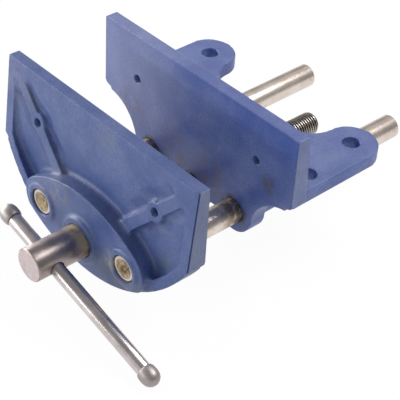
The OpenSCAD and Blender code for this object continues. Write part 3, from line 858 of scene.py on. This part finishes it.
studio = {
    "floorDrop": 0.3 * mm, "floorHalf": 6.0, "floorWhite": (0.85, 0.85, 0.85, 1), "floorShow": 0.96,
    "skyLevel": 0.44, "skyShine": 0.26,
    "lamps": [
        {"name": "softboxOver", "place": (0.35, 0.55, 0.95), "size": (0.7, 0.5), "power": 11.0},
        {"name": "softboxLeft", "place": (-1.15, -0.15, 0.35), "size": (0.8, 0.6), "power": 14.0},
        {"name": "softboxLow", "place": (-0.75, -0.62, 0.14), "size": (0.5, 0.3), "power": 3.0},
        {"name": "softboxFront", "place": (0.5, -1.1, 0.35), "size": (0.8, 0.6), "power": 1.0},
        {"name": "strip", "place": (-0.43, -1.1, 0.24), "size": (0.6, 0.06), "power": 2.4},
        {"name": "softboxBack", "place": (-0.6, 0.9, 0.7), "size": (0.7, 0.5), "power": 0.5},
    ],
}
white = (1, 1, 1, 1)


def makeFloor():
    # white to the camera and in reflections, a plain white board that takes shadows to every other ray
    bm = bmesh.new()
    bmesh.ops.create_grid(bm, x_segments=1, y_segments=1, size=studio["floorHalf"],
                          matrix=Matrix.Translation((0, 0, cadLow[2] - studio["floorDrop"])))
    floor = newObject("floor", bm)
    material, finish = newFinish("floorWhite")
    board = finish.node("BsdfDiffuse", None, {"Color": studio["floorWhite"]})
    glow = finish.node("Emission", None, {"Color": white, "Strength": 1.0})
    cameraRay = finish.node("LightPath", output="Is Camera Ray")
    glossyRay = finish.node("LightPath", output="Is Glossy Ray")
    clearRay = finish.node("LightPath", output="Is Transmission Ray")
    seen = (cameraRay + glossyRay + clearRay) * studio["floorShow"]
    both = finish.node("MixShader", None, {0: seen, 1: board, 2: glow})
    finish.node("OutputMaterial", None, {"Surface": both})
    floor.data.materials.append(material)


def makeSky():
    # white to the camera, dimmer as a light and dimmer still in reflections
    world = bpy.data.worlds.new("studio")
    bpy.context.scene.world = world
    world.use_nodes = True
    finish = Finish(world.node_tree)
    cameraRay = finish.node("LightPath", output="Is Camera Ray")
    glossyRay = finish.node("LightPath", output="Is Glossy Ray")
    level = studio["skyLevel"] + cameraRay * (1 - studio["skyLevel"])
    level = level + glossyRay * (studio["skyShine"] - studio["skyLevel"])
    back = finish.node("Background", None, {"Color": white, "Strength": level})
    finish.node("OutputWorld", None, {"Surface": back})


def makeLamp(settings):
    # a softbox that faces the vise
    lamp = bpy.data.lights.new(settings["name"], "AREA")
    lamp.shape = "RECTANGLE"
    lamp.size, lamp.size_y = settings["size"]
    lamp.energy = settings["power"]
    holder = bpy.data.objects.new(settings["name"], lamp)
    bpy.context.scene.collection.objects.link(holder)
    holder.location = settings["place"]
    holder.rotation_euler = Vector(settings["place"]).to_track_quat("Z", "Y").to_euler()


view = {"place": (0.4731, -0.4524, 0.4720), "azimuth": 45.667, "elevation": 38.609, "roll": 3.851,
        "lens": 115.82, "near": 0.01}


def makeCamera():
    azimuth, elevation, roll = (math.radians(view[name]) for name in ("azimuth", "elevation", "roll"))
    back = Vector((math.sin(azimuth) * math.cos(elevation), -math.cos(azimuth) * math.cos(elevation),
                   math.sin(elevation)))
    camera = bpy.data.objects.new("camera", bpy.data.cameras.new("camera"))
    bpy.context.scene.collection.objects.link(camera)
    camera.data.lens = view["lens"]
    camera.data.clip_start = view["near"]
    camera.location = view["place"]
    level = back.to_track_quat("Z", "Y").to_matrix().to_4x4()
    camera.rotation_euler = (level @ Matrix.Rotation(roll, 4, "Z")).to_euler()
    bpy.context.scene.camera = camera


bpy.context.scene.view_settings.view_transform = "Standard"
makeCamera()
makeFloor()
makeSky()
for lampSettings in studio["lamps"]:
    makeLamp(lampSettings)
print("camera, floor and lights")
makeFrontJaw()
makeRearJaw()
makeGuideBar("guideBarLeft", "guide_bar_left")
makeGuideBar("guideBarRight", "guide_bar_right")
makeScrewRod()
makeScrewHead()
makeTommyBar()
makeCollar()
makeNut()
makeNutScrews()
dressHidden()
